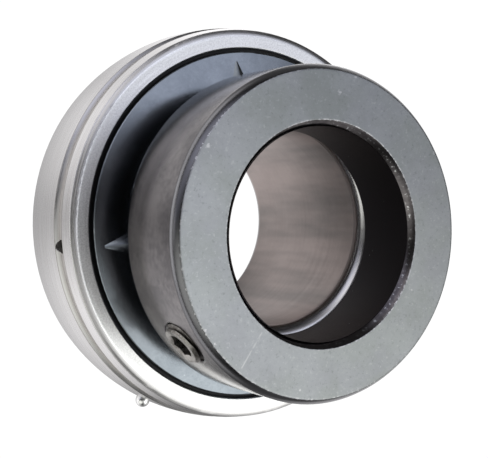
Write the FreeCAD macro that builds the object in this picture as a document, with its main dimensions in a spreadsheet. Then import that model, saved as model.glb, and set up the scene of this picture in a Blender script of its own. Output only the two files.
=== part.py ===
import FreeCAD, Part
import math
import os
import Sketcher
from FreeCAD import Placement, Rotation, Vector

# Insert bearing with an eccentric locking collar.
# The origin is the centre of the spherical outside, on the bore's axis.
# +Z runs along the bore towards the collar. Lengths are millimetres, turns are degrees about +Z.

# Driving dimensions: name, value, what it is
DIMENSIONS = (
    ("shaft_dia", "35.0", "bore of the inner ring"),
    ("sphere_dia", "72.0", "spherical outside of the outer ring"),
    ("outer_width", "18.2", "width of the outer ring"),
    ("corner_drop", "0.42", "how far each face's round falls before it meets the sphere"),
    ("corner_width", "1.25", "width of that round across the face"),
    ("corner_edge", "0.3", "small round where that round meets the sphere"),
    ("outer_edge_break", "0.18", "bevel of the seal seat's mouth"),
    ("outer_land_share", "0.27", "outer land above the pitch circle, as a share of the ball"),
    ("seal_seat_share", "0.364", "seal seat on the way from the outer land to the sphere at the face"),
    ("ball_share", "0.30032", "ball as a share of the outside less the bore"),
    ("ball_count", "9", "balls in the row"),
    ("race_conformity", "0.52", "raceway radius as a share of the ball's diameter"),
    ("race_clearance", "0.02", "ball to raceway, each side"),
    ("groove_place", "5.1", "lubrication groove's middle above the ball plane"),
    ("groove_width", "2.4", "lubrication groove at the sphere"),
    ("groove_depth", "0.5", "lubrication groove below the sphere"),
    ("groove_flank", "0.5", "slope of each groove side"),
    ("lube_hole_dia", "2.35", "hole from the groove to the inside"),
    ("lube_hole_turn", "188.4", "direction of the first lube hole"),
    ("lube_hole_count", "2", "lube holes round the ring"),
    ("pin_dia", "2.54", "anti-rotation pin"),
    ("pin_proud", "1.5", "tip of the pin outside the sphere"),
    ("pin_turn", "-115.0", "direction of the pin"),
    ("pin_height", "-1.4", "pin against the ball plane"),
    ("pin_floor_share", "0.5", "pin's seat as a share of the wall over the raceway"),
    ("inner_width", "37.7", "width of the inner ring"),
    ("inner_land_share", "0.3015", "inner land below the pitch circle, as a share of the ball"),
    ("inner_edge_break", "0.6", "bevel of the inner ring's back edge"),
    ("bore_round_front", "2.5", "round at the bore's collar end"),
    ("bore_round_share", "0.8", "most of the cam's thin side that this round may take"),
    ("bore_round_back", "3.0", "round at the bore's far end"),
    ("cam_step", "1.2", "cam below the inner land"),
    ("cam_length", "5.35", "length of the eccentric cam"),
    ("cam_offset", "0.95", "cam's centre off the bore's axis"),
    ("cam_turn", "-56.0", "direction of the cam's centre"),
    ("cam_edge_break", "0.5", "bevel of the cam's end"),
    ("collar_dia", "55.6", "outside of the collar"),
    ("collar_length", "17.5", "length of the collar"),
    ("collar_turned", "86.0", "collar's turn on the cam, away from in line with the bore"),
    ("collar_bore_clearance", "0.15", "collar to shaft, each side"),
    ("recess_depth", "3.45", "depth of the collar's eccentric recess"),
    ("recess_clearance", "0.1", "recess to cam, each side"),
    ("recess_bevel", "0.3", "bevel of the recess's mouth"),
    ("front_bevel_length", "1.5", "collar's front bevel along the axis"),
    ("front_bevel_depth", "1.0", "collar's front bevel across the axis"),
    ("bevel_round_share", "2.2", "radius of each rounded bevel, as a share of its width"),
    ("back_bevel_length", "1.3", "collar's back bevel along the axis"),
    ("back_bevel_depth", "1.0", "collar's back bevel across the axis"),
    ("mouth_bevel", "1.03", "bevel of the collar's bore at the front"),
    ("throat_bevel", "1.2", "bevel of the collar's bore inside the recess"),
    ("screw_dia", "8.0", "set screw"),
    ("screw_length", "10.0", "length of the set screw"),
    ("screw_clearance", "0.05", "screw to its hole, each side"),
    ("screw_proud", "0.7", "screw's end outside the collar"),
    ("screw_turn", "-139.0", "direction of the set screw"),
    ("screw_place", "8.25", "screw's axis behind the collar's front face"),
    ("screw_bevel", "0.7", "bevel of the screw's ends"),
    ("screw_countersink", "0.5", "bevel of the screw hole's mouth"),
    ("cup_dia", "3.6", "cup of the screw's point"),
    ("cup_depth", "0.8", "depth of that cup"),
    ("hex_flats", "4.0", "hexagon socket across flats"),
    ("hex_depth", "3.6", "depth of the hexagon socket"),
    ("socket_mouth_dia", "5.0", "cone at the mouth of the socket"),
    ("socket_mouth_depth", "1.4", "depth of that cone at the screw's axis"),
    ("flinger_sheet", "0.8", "sheet of the flinger"),
    ("flinger_gap", "0.85", "flinger's rim to the mouth of the seal seat"),
    ("flinger_rim_round", "0.25", "round of the flinger's rim"),
    ("flinger_dish", "0.55", "rise of the flinger from its rim to its hub"),
    ("seal_space", "1.0", "room between the seal shell and the flinger"),
    ("flinger_hub", "3.8", "length of the flinger's hub"),
    ("flinger_bend", "1.0", "inside radius of the bend from flange to hub"),
    ("flinger_fit", "0.02", "flinger to inner land, each side"),
    ("dart_count", "4", "raised darts of the flinger"),
    ("dart_turn", "99.5", "direction of the first dart"),
    ("dart_reach", "5.0", "dart's length outside the hub"),
    ("dart_width", "5.0", "dart's width at the hub"),
    ("dart_rise", "1.2", "dart's height at the hub"),
    ("dart_tip_share", "0.09", "share of its width and height that is left at the dart's tip"),
    ("dart_flare", "2.5", "radius of the dart's hollow sides, as a share of one that starts level"),
    ("seal_room", "0.644", "cage to seal"),
    ("shell_sheet", "0.5", "sheet of the seal shell"),
    ("shell_fit", "0.02", "seal shell to its seat"),
    ("shell_rim_share", "0.5", "shell's rim as a share of the room behind the flinger"),
    ("shell_reach", "1.1", "shell's inner edge below the pitch circle"),
    ("lip_clearance", "0.06", "rubber to what turns beside it"),
    ("lip_width", "0.35", "tip of each sealing lip"),
    ("lip_root_share", "0.73", "root of the inner lip on the way from the shell's edge to its tip"),
    ("coat_share", "0.4", "rubber coat as a share of the room behind the flinger"),
    ("coat_reach", "2.6", "rubber coat's width on the shell"),
    ("axial_lip_lean", "0.7", "outward lean of the lip that faces the flinger"),
    ("cage_sheet", "0.8", "sheet of the cage"),
    ("cage_width_share", "0.432", "width of the cage's ribbon as a share of the ball"),
    ("pocket_clearance", "0.1", "ball to cage"),
    ("rivet_dia", "1.5", "rivet"),
    ("rivet_clearance", "0.03", "rivet to its hole, each side"),
    ("rivet_head_dia", "2.8", "rivet's head"),
    ("rivet_head_rise", "0.7", "height of the rivet's head"),
    ("overrun", "1.0", "how far a cut runs past the surface it starts from"),
)

# Places worked out from the sizes
BORE_R = "(Sizes.shaft_dia / 2)"
SPHERE_R = "(Sizes.sphere_dia / 2)"
PITCH_R = "((Sizes.shaft_dia + Sizes.sphere_dia) / 4)"
BALL_DIA = "(Sizes.ball_share * (Sizes.sphere_dia - Sizes.shaft_dia))"
BALL_R = f"({BALL_DIA} / 2)"
RACE_R = f"(Sizes.race_conformity * {BALL_DIA})"
OUTER_RACE_R = f"({PITCH_R} + {BALL_R} + Sizes.race_clearance)"
INNER_RACE_R = f"({PITCH_R} - {BALL_R} - Sizes.race_clearance)"
OUTER_LAND_R = f"({PITCH_R} + Sizes.outer_land_share * {BALL_DIA})"
INNER_LAND_R = f"({PITCH_R} - Sizes.inner_land_share * {BALL_DIA})"
OUTER_FACE = "(Sizes.outer_width / 2)"
FACE_RIM_R = f"sqrt({SPHERE_R} * {SPHERE_R} - {OUTER_FACE} * {OUTER_FACE})"
POCKET_R = f"({BALL_R} + Sizes.pocket_clearance)"
CAGE_TOP = f"({POCKET_R} + Sizes.cage_sheet)"
SEAL_SEAT_R = f"({OUTER_LAND_R} + Sizes.seal_seat_share * ({FACE_RIM_R} - {OUTER_LAND_R}))"
SEAL_SEAT = f"({CAGE_TOP} + Sizes.seal_room)"
SEAT_MOUTH_R = f"({SEAL_SEAT_R} + Sizes.outer_edge_break)"
FLINGER_R = f"({SEAT_MOUTH_R} - Sizes.flinger_gap)"
HUB_BORE_R = f"({INNER_LAND_R} + Sizes.flinger_fit)"
HUB_R = f"({HUB_BORE_R} + Sizes.flinger_sheet)"
SHELL_TOP = f"({SEAL_SEAT} + Sizes.shell_sheet)"
FLINGER_BACK = f"({SHELL_TOP} + Sizes.seal_space)"
FLINGER_TOP = f"({FLINGER_BACK} + Sizes.flinger_sheet)"
LIP_RISE = "(Sizes.seal_space - Sizes.lip_clearance)"
INNER_FACE = "(Sizes.inner_width / 2)"
CAM_R = f"({INNER_LAND_R} - Sizes.cam_step)"
CAM_X = "(Sizes.cam_offset * cos(Sizes.cam_turn))"
CAM_Y = "(Sizes.cam_offset * sin(Sizes.cam_turn))"
CAM_WALL = f"({CAM_R} - Sizes.cam_offset - Sizes.cam_edge_break - {BORE_R})"
FRONT_ROUND = f"min(Sizes.bore_round_front; {CAM_WALL} * Sizes.bore_round_share)"
COLLAR_R = "(Sizes.collar_dia / 2)"
COLLAR_BORE_R = f"({BORE_R} + Sizes.collar_bore_clearance)"
COLLAR_BACK = f"({INNER_FACE} - Sizes.recess_depth)"
COLLAR_FRONT = f"({COLLAR_BACK} + Sizes.collar_length)"
RECESS_R = f"({CAM_R} + Sizes.recess_clearance)"
SCREW_R = "(Sizes.screw_dia / 2)"
SCREW_HEIGHT = f"({COLLAR_FRONT} - Sizes.screw_place)"
SCREW_END = f"({COLLAR_R} + Sizes.screw_proud)"
SCREW_POINT = f"({SCREW_END} - Sizes.screw_length)"
PIN_R = "(Sizes.pin_dia / 2)"

TOUCH = 0.001


def on_sphere(height):
    """Radius of the spherical outside at a height above the ball plane."""
    return f"sqrt({SPHERE_R} * {SPHERE_R} - ({height}) * ({height}))"


def level_start_radius(across, up):
    """Radius of an arc that starts level and ends so far across and up or down."""
    return f"((({across}) * ({across}) + ({up}) * ({up})) / (2 * ({up})))"


def crown_radius(across, along):
    """Radius of a slightly rounded bevel."""
    return f"(sqrt({across} * {across} + {along} * {along}) * Sizes.bevel_round_share)"


def dish_rise(radius):
    """How far the flinger's flange has risen above its rim at a radius."""
    return f"(Sizes.flinger_dish * ({FLINGER_R} - ({radius})) / ({FLINGER_R} - {HUB_R}))"


def race_half(race_r, land_r, side):
    """Half the width of a raceway groove where it meets its land; side is 1 outside and -1 inside."""
    centre = f"({race_r} - {side} * {RACE_R})"
    return f"sqrt({RACE_R} * {RACE_R} - ({land_r} - {centre}) * ({land_r} - {centre}))"


def turned_place(x, y, height, turn):
    """Placement expression: a turn about +Z after which the origin lies at x, y, height."""
    return f"placement(vector({x}; {y}; {height}); rotation(vector(0; 0; 1); {turn}))"


def make_sheet(doc):
    sheet = doc.addObject("Spreadsheet::Sheet", "Sizes")
    for row, (name, value, meaning) in enumerate(DIMENSIONS, 1):
        sheet.set(f"A{row}", name)
        sheet.set(f"B{row}", value)
        sheet.set(f"C{row}", meaning)
        sheet.setAlias(f"B{row}", name)
    doc.recompute()
    return sheet


def new_body(doc, label):
    body = doc.addObject("PartDesign::Body", label)
    body.Label = label
    return body


def origin_part(body, role):
    """One of a body's own origin planes or axes."""
    return [part for part in body.Origin.OriginFeatures if part.Role == role][0]


def add_sketch(body, role, name):
    sketch = body.newObject("Sketcher::SketchObject", name)
    sketch.AttachmentSupport = (origin_part(body, role), [""])
    sketch.MapMode = "FlatFace"
    return sketch


def bind(sketch, number, expression):
    """Ties one of a sketch's constraints to the sheet."""
    name = f"size_{number}"
    sketch.renameConstraint(number, name)
    sketch.setExpression(f"Constraints.{name}", expression)


def arc_between(start, finish, radius, way):
    """The short arc from start to finish, counter-clockwise where way is 1 and clockwise where it is -1."""
    chord = finish - start
    rise = math.sqrt(max(radius ** 2 - (chord.Length / 2) ** 2, 0.0))
    across = Vector(-chord.y, chord.x, 0).normalize() * (rise * way)
    centre = (start + finish) * 0.5 + across
    first, last = (start, finish) if way > 0 else (finish, start)
    angles = [math.atan2(spot.y - centre.y, spot.x - centre.x) for spot in (first, last)]
    return Part.ArcOfCircle(Part.Circle(centre, Vector(0, 0, 1), radius), *angles)


def draw_outline(sketch, corners):
    """A closed outline. Each corner is (across, up), with (radius, way) added where an arc leaves it."""
    read = sketch.evalExpression
    spots = [Vector(read(corner[0]), read(corner[1]), 0) for corner in corners]
    ends = []
    for number, corner in enumerate(corners):
        start = spots[number]
        finish = spots[(number + 1) % len(spots)]
        if len(corner) == 2:
            sketch.addGeometry(Part.LineSegment(start, finish), False)
            ends.append((1, 2))
        else:
            sketch.addGeometry(arc_between(start, finish, read(corner[2]), corner[3]), False)
            ends.append((1, 2) if corner[3] > 0 else (2, 1))
    for number, corner in enumerate(corners):
        after = (number + 1) % len(corners)
        first, last = ends[number]
        sketch.addConstraint(Sketcher.Constraint("Coincident", number, last, after, ends[after][0]))
        across = Sketcher.Constraint("DistanceX", -1, 1, number, first, spots[number].x)
        bind(sketch, sketch.addConstraint(across), corner[0])
        up = Sketcher.Constraint("DistanceY", -1, 1, number, first, spots[number].y)
        bind(sketch, sketch.addConstraint(up), corner[1])
        if len(corner) > 2:
            curve = Sketcher.Constraint("Radius", number, read(corner[2]))
            bind(sketch, sketch.addConstraint(curve), corner[2])


def draw_circle(sketch, across, up, radius):
    read = sketch.evalExpression
    centre = Vector(read(across), read(up), 0)
    sketch.addGeometry(Part.Circle(centre, Vector(0, 0, 1), read(radius)), False)
    x = Sketcher.Constraint("DistanceX", -1, 1, 0, 3, centre.x)
    bind(sketch, sketch.addConstraint(x), across)
    y = Sketcher.Constraint("DistanceY", -1, 1, 0, 3, centre.y)
    bind(sketch, sketch.addConstraint(y), up)
    curve = Sketcher.Constraint("Radius", 0, read(radius))
    bind(sketch, sketch.addConstraint(curve), radius)


def revolve(body, name, sketch, axis, kind="PartDesign::Revolution"):
    feature = body.newObject(kind, name)
    feature.Profile = sketch
    feature.ReferenceAxis = (sketch, [axis])
    feature.Angle = 360
    body.Document.recompute()
    return feature


def turn(body, name, corners):
    """A solid turned about the bearing's axis."""
    sketch = add_sketch(body, "XZ_Plane", name + "_outline")
    draw_outline(sketch, corners)
    return revolve(body, name, sketch, "V_Axis")


def must_cut(before, feature):
    """A cut that points away from the solid removes nothing, so the volumes are compared."""
    if feature.Shape.Volume > before - TOUCH:
        raise RuntimeError(f"{feature.Name} removes nothing")
    return feature


def bore_out(body, name, corners):
    """A hole turned about the bearing's axis."""
    before = body.Shape.Volume
    sketch = add_sketch(body, "XZ_Plane", name + "_outline")
    draw_outline(sketch, corners)
    return must_cut(before, revolve(body, name, sketch, "V_Axis", "PartDesign::Groove"))


def drill_inwards(body, name, height, direction, corners):
    """A hole turned about a line that leaves the bearing's axis square to it; corners are (along, off)."""
    before = body.Shape.Volume
    sketch = add_sketch(body, "XY_Plane", name + "_outline")
    sketch.setExpression("AttachmentOffset", turned_place("0", "0", height, direction))
    draw_outline(sketch, corners)
    return must_cut(before, revolve(body, name, sketch, "H_Axis", "PartDesign::Groove"))


def repeat_round(body, name, feature, count):
    """Copies of a feature, evenly spaced about the bearing's axis."""
    pattern = body.newObject("PartDesign::PolarPattern", name)
    pattern.Originals = [feature]
    pattern.Axis = (origin_part(body, "Z_Axis"), [""])
    pattern.Angle = 360
    pattern.setExpression("Occurrences", count)
    body.Tip = pattern
    body.Document.recompute()
    return pattern


def rim_names(feature, radius, height):
    """Names of the circular edges of one radius that lie at one height."""
    names = []
    for number, edge in enumerate(feature.Shape.Edges, 1):
        curve = edge.Curve
        if not isinstance(curve, Part.Circle):
            continue
        if abs(curve.Radius - radius) < TOUCH and abs(curve.Center.z - height) < TOUCH:
            names.append(f"Edge{number}")
    return names


def dress_edges(body, name, kind, base, edges, field, size):
    """A fillet or a chamfer on named edges of the last feature."""
    dressed = body.newObject(kind, name)
    dressed.Base = (base, edges)
    dressed.setExpression(field, size)
    body.Tip = dressed
    body.Document.recompute()
    return dressed


def flip_over(body):
    """Turns a piece of the collar side over, so that it serves the far side."""
    body.Placement = Placement(Vector(), Rotation(Vector(1, 0, 0), 180))


def outer_ring(doc):
    body = new_body(doc, "outer_ring")
    groove_top = "(Sizes.groove_place + Sizes.groove_width / 2)"
    groove_low = "(Sizes.groove_place - Sizes.groove_width / 2)"
    groove_floor = f"({on_sphere('Sizes.groove_place')} - Sizes.groove_depth)"
    corner_foot = f"({OUTER_FACE} - Sizes.corner_drop)"
    flat_r = f"({on_sphere(corner_foot)} - Sizes.corner_width)"
    corner_r = level_start_radius("Sizes.corner_width", "Sizes.corner_drop")
    race = race_half(OUTER_RACE_R, OUTER_LAND_R, 1)
    ring = turn(body, "ring", (
        (SEAT_MOUTH_R, OUTER_FACE),
        (flat_r, OUTER_FACE, corner_r, -1),
        (on_sphere(corner_foot), corner_foot, SPHERE_R, -1),
        (on_sphere(groove_top), groove_top),
        (groove_floor, f"{groove_top} - Sizes.groove_flank"),
        (groove_floor, f"{groove_low} + Sizes.groove_flank"),
        (on_sphere(groove_low), groove_low, SPHERE_R, -1),
        (on_sphere(corner_foot), f"-{corner_foot}", corner_r, -1),
        (flat_r, f"-{OUTER_FACE}"),
        (SEAT_MOUTH_R, f"-{OUTER_FACE}"),
        (SEAL_SEAT_R, f"-{OUTER_FACE} + Sizes.outer_edge_break"),
        (SEAL_SEAT_R, f"-{SEAL_SEAT}"),
        (OUTER_LAND_R, f"-{SEAL_SEAT}"),
        (OUTER_LAND_R, f"-{race}", RACE_R, 1),
        (OUTER_LAND_R, race),
        (OUTER_LAND_R, SEAL_SEAT),
        (SEAL_SEAT_R, SEAL_SEAT),
        (SEAL_SEAT_R, f"{OUTER_FACE} - Sizes.outer_edge_break"),
    ))
    edge_r = body.evalExpression(on_sphere(corner_foot))
    edge_height = body.evalExpression(corner_foot)
    rims = rim_names(ring, edge_r, edge_height) + rim_names(ring, edge_r, -edge_height)
    dress_edges(body, "corner_edges", "PartDesign::Fillet", ring, rims, "Radius", "Sizes.corner_edge")
    hole = drill_inwards(body, "lube_hole", "Sizes.groove_place", "Sizes.lube_hole_turn", (
        (PITCH_R, "0"),
        (f"{SPHERE_R} + Sizes.overrun", "0"),
        (f"{SPHERE_R} + Sizes.overrun", "Sizes.lube_hole_dia / 2"),
        (PITCH_R, "Sizes.lube_hole_dia / 2"),
    ))
    repeat_round(body, "lube_holes", hole, "Sizes.lube_hole_count")
    drill_inwards(body, "pin_hole", "Sizes.pin_height", "Sizes.pin_turn", (
        (pin_floor(), "0"),
        (f"{SPHERE_R} + Sizes.overrun", "0"),
        (f"{SPHERE_R} + Sizes.overrun", PIN_R),
        (pin_floor(), PIN_R),
    ))
    return body


def pin_floor():
    """Radius of the floor of the anti-rotation pin's hole, in the wall over the raceway."""
    return f"({SPHERE_R} - ({SPHERE_R} - {OUTER_RACE_R}) * Sizes.pin_floor_share)"


def anti_rotation_pin(doc):
    body = new_body(doc, "anti_rotation_pin")
    tip = f"({SPHERE_R} + Sizes.pin_proud)"
    sketch = add_sketch(body, "XY_Plane", "pin_outline")
    draw_outline(sketch, (
        (pin_floor(), "0"),
        (tip, "0", PIN_R, 1),
        (f"{tip} - {PIN_R}", PIN_R),
        (pin_floor(), PIN_R),
    ))
    revolve(body, "domed_pin", sketch, "H_Axis")
    body.setExpression("Placement", turned_place("0", "0", "Sizes.pin_height", "Sizes.pin_turn"))
    return body


def seal_shell(doc, label):
    """Pressed steel shell: a disc on the seat's shoulder with a rim that grips the seat."""
    body = new_body(doc, label)
    rim_r = f"({SEAL_SEAT_R} - Sizes.shell_fit)"
    rim_top = f"({SHELL_TOP} + {LIP_RISE} * Sizes.shell_rim_share)"
    inner_r = f"({PITCH_R} - Sizes.shell_reach)"
    turn(body, "shell", (
        (inner_r, SEAL_SEAT),
        (rim_r, SEAL_SEAT),
        (rim_r, rim_top),
        (f"{rim_r} - Sizes.shell_sheet", rim_top),
        (f"{rim_r} - Sizes.shell_sheet", SHELL_TOP),
        (inner_r, SHELL_TOP),
    ))
    return body


def seal_lip(doc, label):
    """Rubber on the shell's inner edge: one lip runs on the inner land, one faces the flinger."""
    body = new_body(doc, label)
    edge_r = f"({PITCH_R} - Sizes.shell_reach)"
    tip_r = f"({INNER_LAND_R} + Sizes.lip_clearance)"
    root_r = f"({edge_r} - ({edge_r} - {tip_r}) * Sizes.lip_root_share)"
    coat_top = f"({SHELL_TOP} + {LIP_RISE} * Sizes.coat_share)"
    coat_r = f"({edge_r} + Sizes.coat_reach)"
    lip_r = f"({coat_r} + Sizes.axial_lip_lean)"
    lip_top = f"({SHELL_TOP} + {LIP_RISE} + {dish_rise(lip_r)})"
    turn(body, "lip", (
        (edge_r, SEAL_SEAT),
        (edge_r, SHELL_TOP),
        (coat_r, SHELL_TOP),
        (lip_r, lip_top),
        (f"{lip_r} - Sizes.lip_width", lip_top),
        (f"{coat_r} - Sizes.lip_width", coat_top),
        (root_r, coat_top),
        (tip_r, f"{SHELL_TOP} + Sizes.lip_width"),
        (tip_r, SHELL_TOP),
        (root_r, SEAL_SEAT),
    ))
    return body


def inner_ring(doc):
    body = new_body(doc, "inner_ring")
    cam_foot = f"({INNER_FACE} - Sizes.cam_length)"
    race = race_half(INNER_RACE_R, INNER_LAND_R, -1)
    turn(body, "ring", (
        ("0", f"-{INNER_FACE}"),
        (f"{INNER_LAND_R} - Sizes.inner_edge_break", f"-{INNER_FACE}"),
        (INNER_LAND_R, f"-{INNER_FACE} + Sizes.inner_edge_break"),
        (INNER_LAND_R, f"-{race}", RACE_R, -1),
        (INNER_LAND_R, race),
        (INNER_LAND_R, cam_foot),
        ("0", cam_foot),
    ))
    cam_sketch = add_sketch(body, "XY_Plane", "cam_outline")
    cam_sketch.setExpression("AttachmentOffset", turned_place("0", "0", cam_foot, "0"))
    draw_circle(cam_sketch, CAM_X, CAM_Y, CAM_R)
    cam = body.newObject("PartDesign::Pad", "cam")
    cam.Profile = cam_sketch
    cam.setExpression("Length", "Sizes.cam_length")
    doc.recompute()
    bore = bore_out(body, "bore", (
        ("0", f"-{INNER_FACE} - Sizes.overrun"),
        (f"{BORE_R} + Sizes.bore_round_back", f"-{INNER_FACE} - Sizes.overrun"),
        (f"{BORE_R} + Sizes.bore_round_back", f"-{INNER_FACE}", "Sizes.bore_round_back", -1),
        (BORE_R, f"-{INNER_FACE} + Sizes.bore_round_back"),
        (BORE_R, f"{INNER_FACE} - {FRONT_ROUND}", FRONT_ROUND, -1),
        (f"{BORE_R} + {FRONT_ROUND}", INNER_FACE),
        (f"{BORE_R} + {FRONT_ROUND}", f"{INNER_FACE} + Sizes.overrun"),
        ("0", f"{INNER_FACE} + Sizes.overrun"),
    ))
    rims = rim_names(bore, body.evalExpression(CAM_R), body.evalExpression(INNER_FACE))
    dress_edges(body, "cam_bevel", "PartDesign::Chamfer", bore, rims, "Size", "Sizes.cam_edge_break")
    return body


def flinger(doc, label):
    """Pressed steel ring: a flange over the seal, a hub on the inner land and raised darts between."""
    body = new_body(doc, label)
    bend_r = "(Sizes.flinger_bend + Sizes.flinger_sheet)"
    bend_low = f"({FLINGER_BACK} + Sizes.flinger_dish)"
    bend_top = f"({FLINGER_TOP} + Sizes.flinger_dish)"
    hub_end = f"({FLINGER_BACK} + Sizes.flinger_hub)"
    turn(body, "pressing", (
        (f"{HUB_BORE_R} + {bend_r}", bend_low),
        (FLINGER_R, FLINGER_BACK),
        (FLINGER_R, f"{FLINGER_TOP} - Sizes.flinger_rim_round", "Sizes.flinger_rim_round", 1),
        (f"{FLINGER_R} - Sizes.flinger_rim_round", FLINGER_TOP),
        (f"{HUB_R} + Sizes.flinger_bend", bend_top, "Sizes.flinger_bend", -1),
        (HUB_R, f"{bend_top} + Sizes.flinger_bend"),
        (HUB_R, hub_end),
        (HUB_BORE_R, hub_end),
        (HUB_BORE_R, f"{bend_low} + {bend_r}", bend_r, 1),
    ))
    root = dart_outline(body, "dart_root", f"{HUB_R} - Sizes.flinger_sheet / 2", "1")
    tip = dart_outline(body, "dart_end", f"{HUB_R} + Sizes.dart_reach", "Sizes.dart_tip_share")
    dart = body.newObject("PartDesign::AdditiveLoft", "dart")
    dart.Profile = root
    dart.Sections = [tip]
    doc.recompute()
    repeat_round(body, "darts", dart, "Sizes.dart_count")
    return body


def dart_outline(body, name, distance, share):
    """A dart's section at one distance from the axis: hollow sides up to a ridge, with its foot in the flange."""
    sketch = add_sketch(body, "YZ_Plane", name)
    direction = "Sizes.dart_turn"
    sketch.setExpression("AttachmentOffset", (
        f"placement(vector(sin({direction}) * ({distance}); 0; cos({direction}) * ({distance}))"
        f"; rotation(vector(0; 1; 0); {direction}))"
    ))
    half_width = f"(Sizes.dart_width / 2 * {share})"
    rise = f"(Sizes.dart_rise * {share})"
    side_r = f"({level_start_radius(half_width, rise)} * Sizes.dart_flare)"
    top = f"({FLINGER_TOP} + {dish_rise(distance)})"
    foot = f"({top} - Sizes.flinger_sheet / 2)"
    draw_outline(sketch, (
        (f"-{half_width}", foot),
        (half_width, foot),
        (half_width, top, side_r, -1),
        ("0", f"{top} + {rise}", side_r, -1),
        (f"-{half_width}", top),
    ))
    return sketch


def ball(doc, number, count):
    piece = doc.addObject("Part::Sphere", f"ball_{number}")
    piece.Label = f"ball_{number}"
    piece.setExpression("Radius", BALL_R)
    place_on_pitch(piece, (number - 1) * 360 / count)
    return piece


def place_on_pitch(piece, direction):
    """Sets a piece on the pitch circle, in one direction from the axis."""
    x = f"{PITCH_R} * cos({direction})"
    y = f"{PITCH_R} * sin({direction})"
    piece.setExpression("Placement", turned_place(x, y, "0", direction))


def add_tube(doc, name, inner_r, outer_r, height):
    """A plain ring that starts at the ball plane."""
    rounds = []
    for part, radius in (("outside", outer_r), ("inside", inner_r)):
        cylinder = doc.addObject("Part::Cylinder", f"{name}_{part}")
        cylinder.setExpression("Radius", radius)
        cylinder.setExpression("Height", height)
        rounds.append(cylinder)
    tube = doc.addObject("Part::Cut", name)
    tube.Base, tube.Tool = rounds
    return tube


def pitch_row(doc, name, kind, sizes, turn_by, count):
    """One primitive for each ball, on the pitch circle, fused into one shape."""
    row = []
    for number in range(count):
        shape = doc.addObject(kind, f"{name}_{number}")
        for field, size in sizes:
            shape.setExpression(field, size)
        place_on_pitch(shape, turn_by + number * 360 / count)
        row.append(shape)
    fused = doc.addObject("Part::MultiFuse", name)
    fused.Shapes = row
    return fused


def cage_half(doc, label, count):
    """Half of the ribbon cage: flat bridges at the ball plane and a domed pocket over each ball."""
    half_width = f"(Sizes.cage_width_share * {BALL_DIA} / 2)"
    inner_r = f"({PITCH_R} - {half_width})"
    outer_r = f"({PITCH_R} + {half_width})"
    bridges = add_tube(doc, label + "_bridges", inner_r, outer_r, "Sizes.cage_sheet")
    ribbon = add_tube(doc, label + "_ribbon", inner_r, outer_r, f"{CAGE_TOP} + Sizes.overrun")
    domes = pitch_row(doc, label + "_domes", "Part::Sphere", (("Radius", CAGE_TOP),), 0, count)
    trimmed = doc.addObject("Part::MultiCommon", label + "_trimmed")
    trimmed.Shapes = [domes, ribbon]
    pressing = doc.addObject("Part::MultiFuse", label + "_pressing")
    pressing.Shapes = [bridges, trimmed]
    pockets = pitch_row(doc, label + "_pockets", "Part::Sphere", (("Radius", POCKET_R),), 0, count)
    hollow = doc.addObject("Part::Cut", label + "_hollow")
    hollow.Base, hollow.Tool = pressing, pockets
    hole_sizes = (("Radius", "Sizes.rivet_dia / 2 + Sizes.rivet_clearance"), ("Height", "Sizes.cage_sheet"))
    holes = pitch_row(doc, label + "_holes", "Part::Cylinder", hole_sizes, 180 / count, count)
    half = doc.addObject("Part::Cut", label)
    half.Label = label
    half.Base, half.Tool = hollow, holes
    doc.recompute()
    return half


def cage_rivets(doc):
    """Rivets between the balls, headed on both halves of the cage."""
    body = new_body(doc, "cage_rivets")
    body.AllowCompound = True
    sketch = add_sketch(body, "XZ_Plane", "rivet_outline")
    sketch.setExpression("AttachmentOffset", turned_place(PITCH_R, "0", "0", "0"))
    head_r = "(Sizes.rivet_head_dia / 2)"
    dome_r = (f"(({head_r} * {head_r} + Sizes.rivet_head_rise * Sizes.rivet_head_rise)"
              " / (2 * Sizes.rivet_head_rise))")
    top = "(Sizes.cage_sheet + Sizes.rivet_head_rise)"
    draw_outline(sketch, (
        ("0", f"-{top}", dome_r, 1),
        (head_r, "-Sizes.cage_sheet"),
        ("Sizes.rivet_dia / 2", "-Sizes.cage_sheet"),
        ("Sizes.rivet_dia / 2", "Sizes.cage_sheet"),
        (head_r, "Sizes.cage_sheet", dome_r, 1),
        ("0", top),
    ))
    rivet = revolve(body, "rivet", sketch, "V_Axis")
    repeat_round(body, "rivets", rivet, "Sizes.ball_count")
    body.setExpression("Placement", turned_place("0", "0", "0", "180 / Sizes.ball_count"))
    return body


def collar_place(height, direction):
    """Where the collar's bore axis lies once the collar is turned about the cam's centre."""
    turned = "(Sizes.cam_turn + Sizes.collar_turned)"
    x = f"{CAM_X} - Sizes.cam_offset * cos({turned})"
    y = f"{CAM_Y} - Sizes.cam_offset * sin({turned})"
    return turned_place(x, y, height, direction)


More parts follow.
